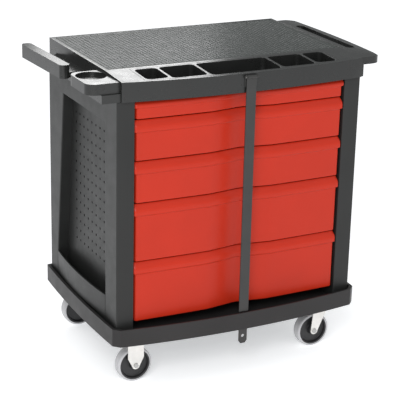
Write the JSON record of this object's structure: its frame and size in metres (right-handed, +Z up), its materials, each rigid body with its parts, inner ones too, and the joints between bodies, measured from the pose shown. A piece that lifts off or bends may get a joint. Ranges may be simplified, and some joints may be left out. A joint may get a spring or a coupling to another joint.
{
  "type": "rolling tool chest",
  "caption": "Moulded rolling tool chest with full-width red drawers, a lock bar down the front, a worktop with tool trays, a cup and handles, and fixed and swivel casters.",
  "frame": {"origin": "on the floor under the centre of the whole object's box", "axes": "+Z up, the drawers open towards -Y, the push handle is on the -X end"},
  "size_m": [0.85, 0.5399, 0.852],
  "materials": {
    "body_plastic": "satin moulded resin with a fine grain",
    "base_plastic": "satin moulded resin with a fine grain",
    "mat_plastic": "fine ribbed matt mat",
    "drawer_red": "smooth moulded resin",
    "tub_black": "plain moulded resin",
    "runner_steel": "zinc plated",
    "dark_steel": "dark powder coat",
    "pin_steel": "plain",
    "zinc": "bright zinc",
    "wheel_core": "moulded nylon",
    "tyre": "soft grey rubber"
  },
  "bodies": {
    "cabinet": {"base_tray": "base_plastic", "cabinet_floor": "body_plastic", "back_panel": "body_plastic", "side_frame_left": "body_plastic", "side_frame_right": "body_plastic", "side_panel_left": "body_plastic", "side_panel_right": "body_plastic", "side_pocket_left": "body_plastic", "side_pocket_right": "body_plastic", "worktop": "body_plastic", "work_mat": "mat_plastic", "tool_tray": "body_plastic", "corner_cup": "body_plastic", "push_handle": "body_plastic", "hand_hold_wing": "body_plastic", "runners_left": "runner_steel", "runners_right": "runner_steel", "lock_bracket": "dark_steel", "lock_pin": "pin_steel", "padlock_tab": "dark_steel", "caster_bolts": "zinc", "back_screws": "pin_steel", "caster_plate_front_left": "zinc", "caster_plate_front_right": "zinc", "caster_plate_rear_left": "zinc", "caster_plate_rear_right": "zinc", "caster_fork_front_left": "zinc", "caster_axle_front_left": "pin_steel", "caster_fork_rear_left": "zinc", "caster_axle_rear_left": "pin_steel"},
    "lock_bar": {"lock_bar": "dark_steel"},
    "drawer_1": {"drawer_1_front": "drawer_red", "drawer_1_tub": "tub_black", "drawer_1_slides": "runner_steel"},
    "drawer_2": {"drawer_2_front": "drawer_red", "drawer_2_tub": "tub_black", "drawer_2_slides": "runner_steel"},
    "drawer_3": {"drawer_3_front": "drawer_red", "drawer_3_tub": "tub_black", "drawer_3_slides": "runner_steel"},
    "drawer_4": {"drawer_4_front": "drawer_red", "drawer_4_tub": "tub_black", "drawer_4_slides": "runner_steel"},
    "drawer_5": {"drawer_5_front": "drawer_red", "drawer_5_tub": "tub_black", "drawer_5_slides": "runner_steel"},
    "wheel_front_left": {"wheel_core_front_left": "wheel_core", "tyre_front_left": "tyre"},
    "caster_front_right": {"caster_fork_front_right": "zinc", "caster_axle_front_right": "pin_steel"},
    "wheel_front_right": {"wheel_core_front_right": "wheel_core", "tyre_front_right": "tyre"},
    "wheel_rear_left": {"wheel_core_rear_left": "wheel_core", "tyre_rear_left": "tyre"},
    "caster_rear_right": {"caster_fork_rear_right": "zinc", "caster_axle_rear_right": "pin_steel"},
    "wheel_rear_right": {"wheel_core_rear_right": "wheel_core", "tyre_rear_right": "tyre"}
  },
  "joints": [
    {"name": "lock_bar_swing", "type": "hinge", "parent": "cabinet", "child": "lock_bar", "pos_m": [0.005, -0.2645, 0.837], "axis": [-1, 0, 0], "range_deg": [0, 160]},
    {"name": "drawer_1_slide", "type": "slide", "parent": "cabinet", "child": "drawer_1", "axis": [0, -1, 0], "range_m": [0, 0.2932]},
    {"name": "drawer_2_slide", "type": "slide", "parent": "cabinet", "child": "drawer_2", "axis": [0, -1, 0], "range_m": [0, 0.3798]},
    {"name": "drawer_3_slide", "type": "slide", "parent": "cabinet", "child": "drawer_3", "axis": [0, -1, 0], "range_m": [0, 0.3798]},
    {"name": "drawer_4_slide", "type": "slide", "parent": "cabinet", "child": "drawer_4", "axis": [0, -1, 0], "range_m": [0, 0.3798]},
    {"name": "drawer_5_slide", "type": "slide", "parent": "cabinet", "child": "drawer_5", "axis": [0, -1, 0], "range_m": [0, 0.3798]},
    {"name": "wheel_front_left_spin", "type": "hinge", "parent": "cabinet", "child": "wheel_front_left", "pos_m": [-0.277, -0.169, 0.049], "axis": [0, 1, 0], "continuous": true},
    {"name": "caster_front_right_swivel", "type": "hinge", "parent": "cabinet", "child": "caster_front_right", "pos_m": [0.295, -0.169, 0.12], "axis": [0, 0, 1], "continuous": true},
    {"name": "wheel_front_right_spin", "type": "hinge", "parent": "caster_front_right", "child": "wheel_front_right", "pos_m": [0.277, -0.169, 0.049], "axis": [0, 1, 0], "continuous": true},
    {"name": "wheel_rear_left_spin", "type": "hinge", "parent": "cabinet", "child": "wheel_rear_left", "pos_m": [-0.277, 0.228, 0.049], "axis": [0, 1, 0], "continuous": true},
    {"name": "caster_rear_right_swivel", "type": "hinge", "parent": "cabinet", "child": "caster_rear_right", "pos_m": [0.295, 0.228, 0.12], "axis": [0, 0, 1], "continuous": true},
    {"name": "wheel_rear_right_spin", "type": "hinge", "parent": "caster_rear_right", "child": "wheel_rear_right", "pos_m": [0.277, 0.228, 0.049], "axis": [0, 1, 0], "continuous": true}
  ],
  "couplings": [
    {"joint": "drawer_1_slide", "follows": "lock_bar_swing", "m_per_rad": 0.105},
    {"joint": "drawer_2_slide", "follows": "lock_bar_swing", "m_per_rad": 0.136},
    {"joint": "drawer_3_slide", "follows": "lock_bar_swing", "m_per_rad": 0.136},
    {"joint": "drawer_4_slide", "follows": "lock_bar_swing", "m_per_rad": 0.136},
    {"joint": "drawer_5_slide", "follows": "lock_bar_swing", "m_per_rad": 0.136}
  ]
}
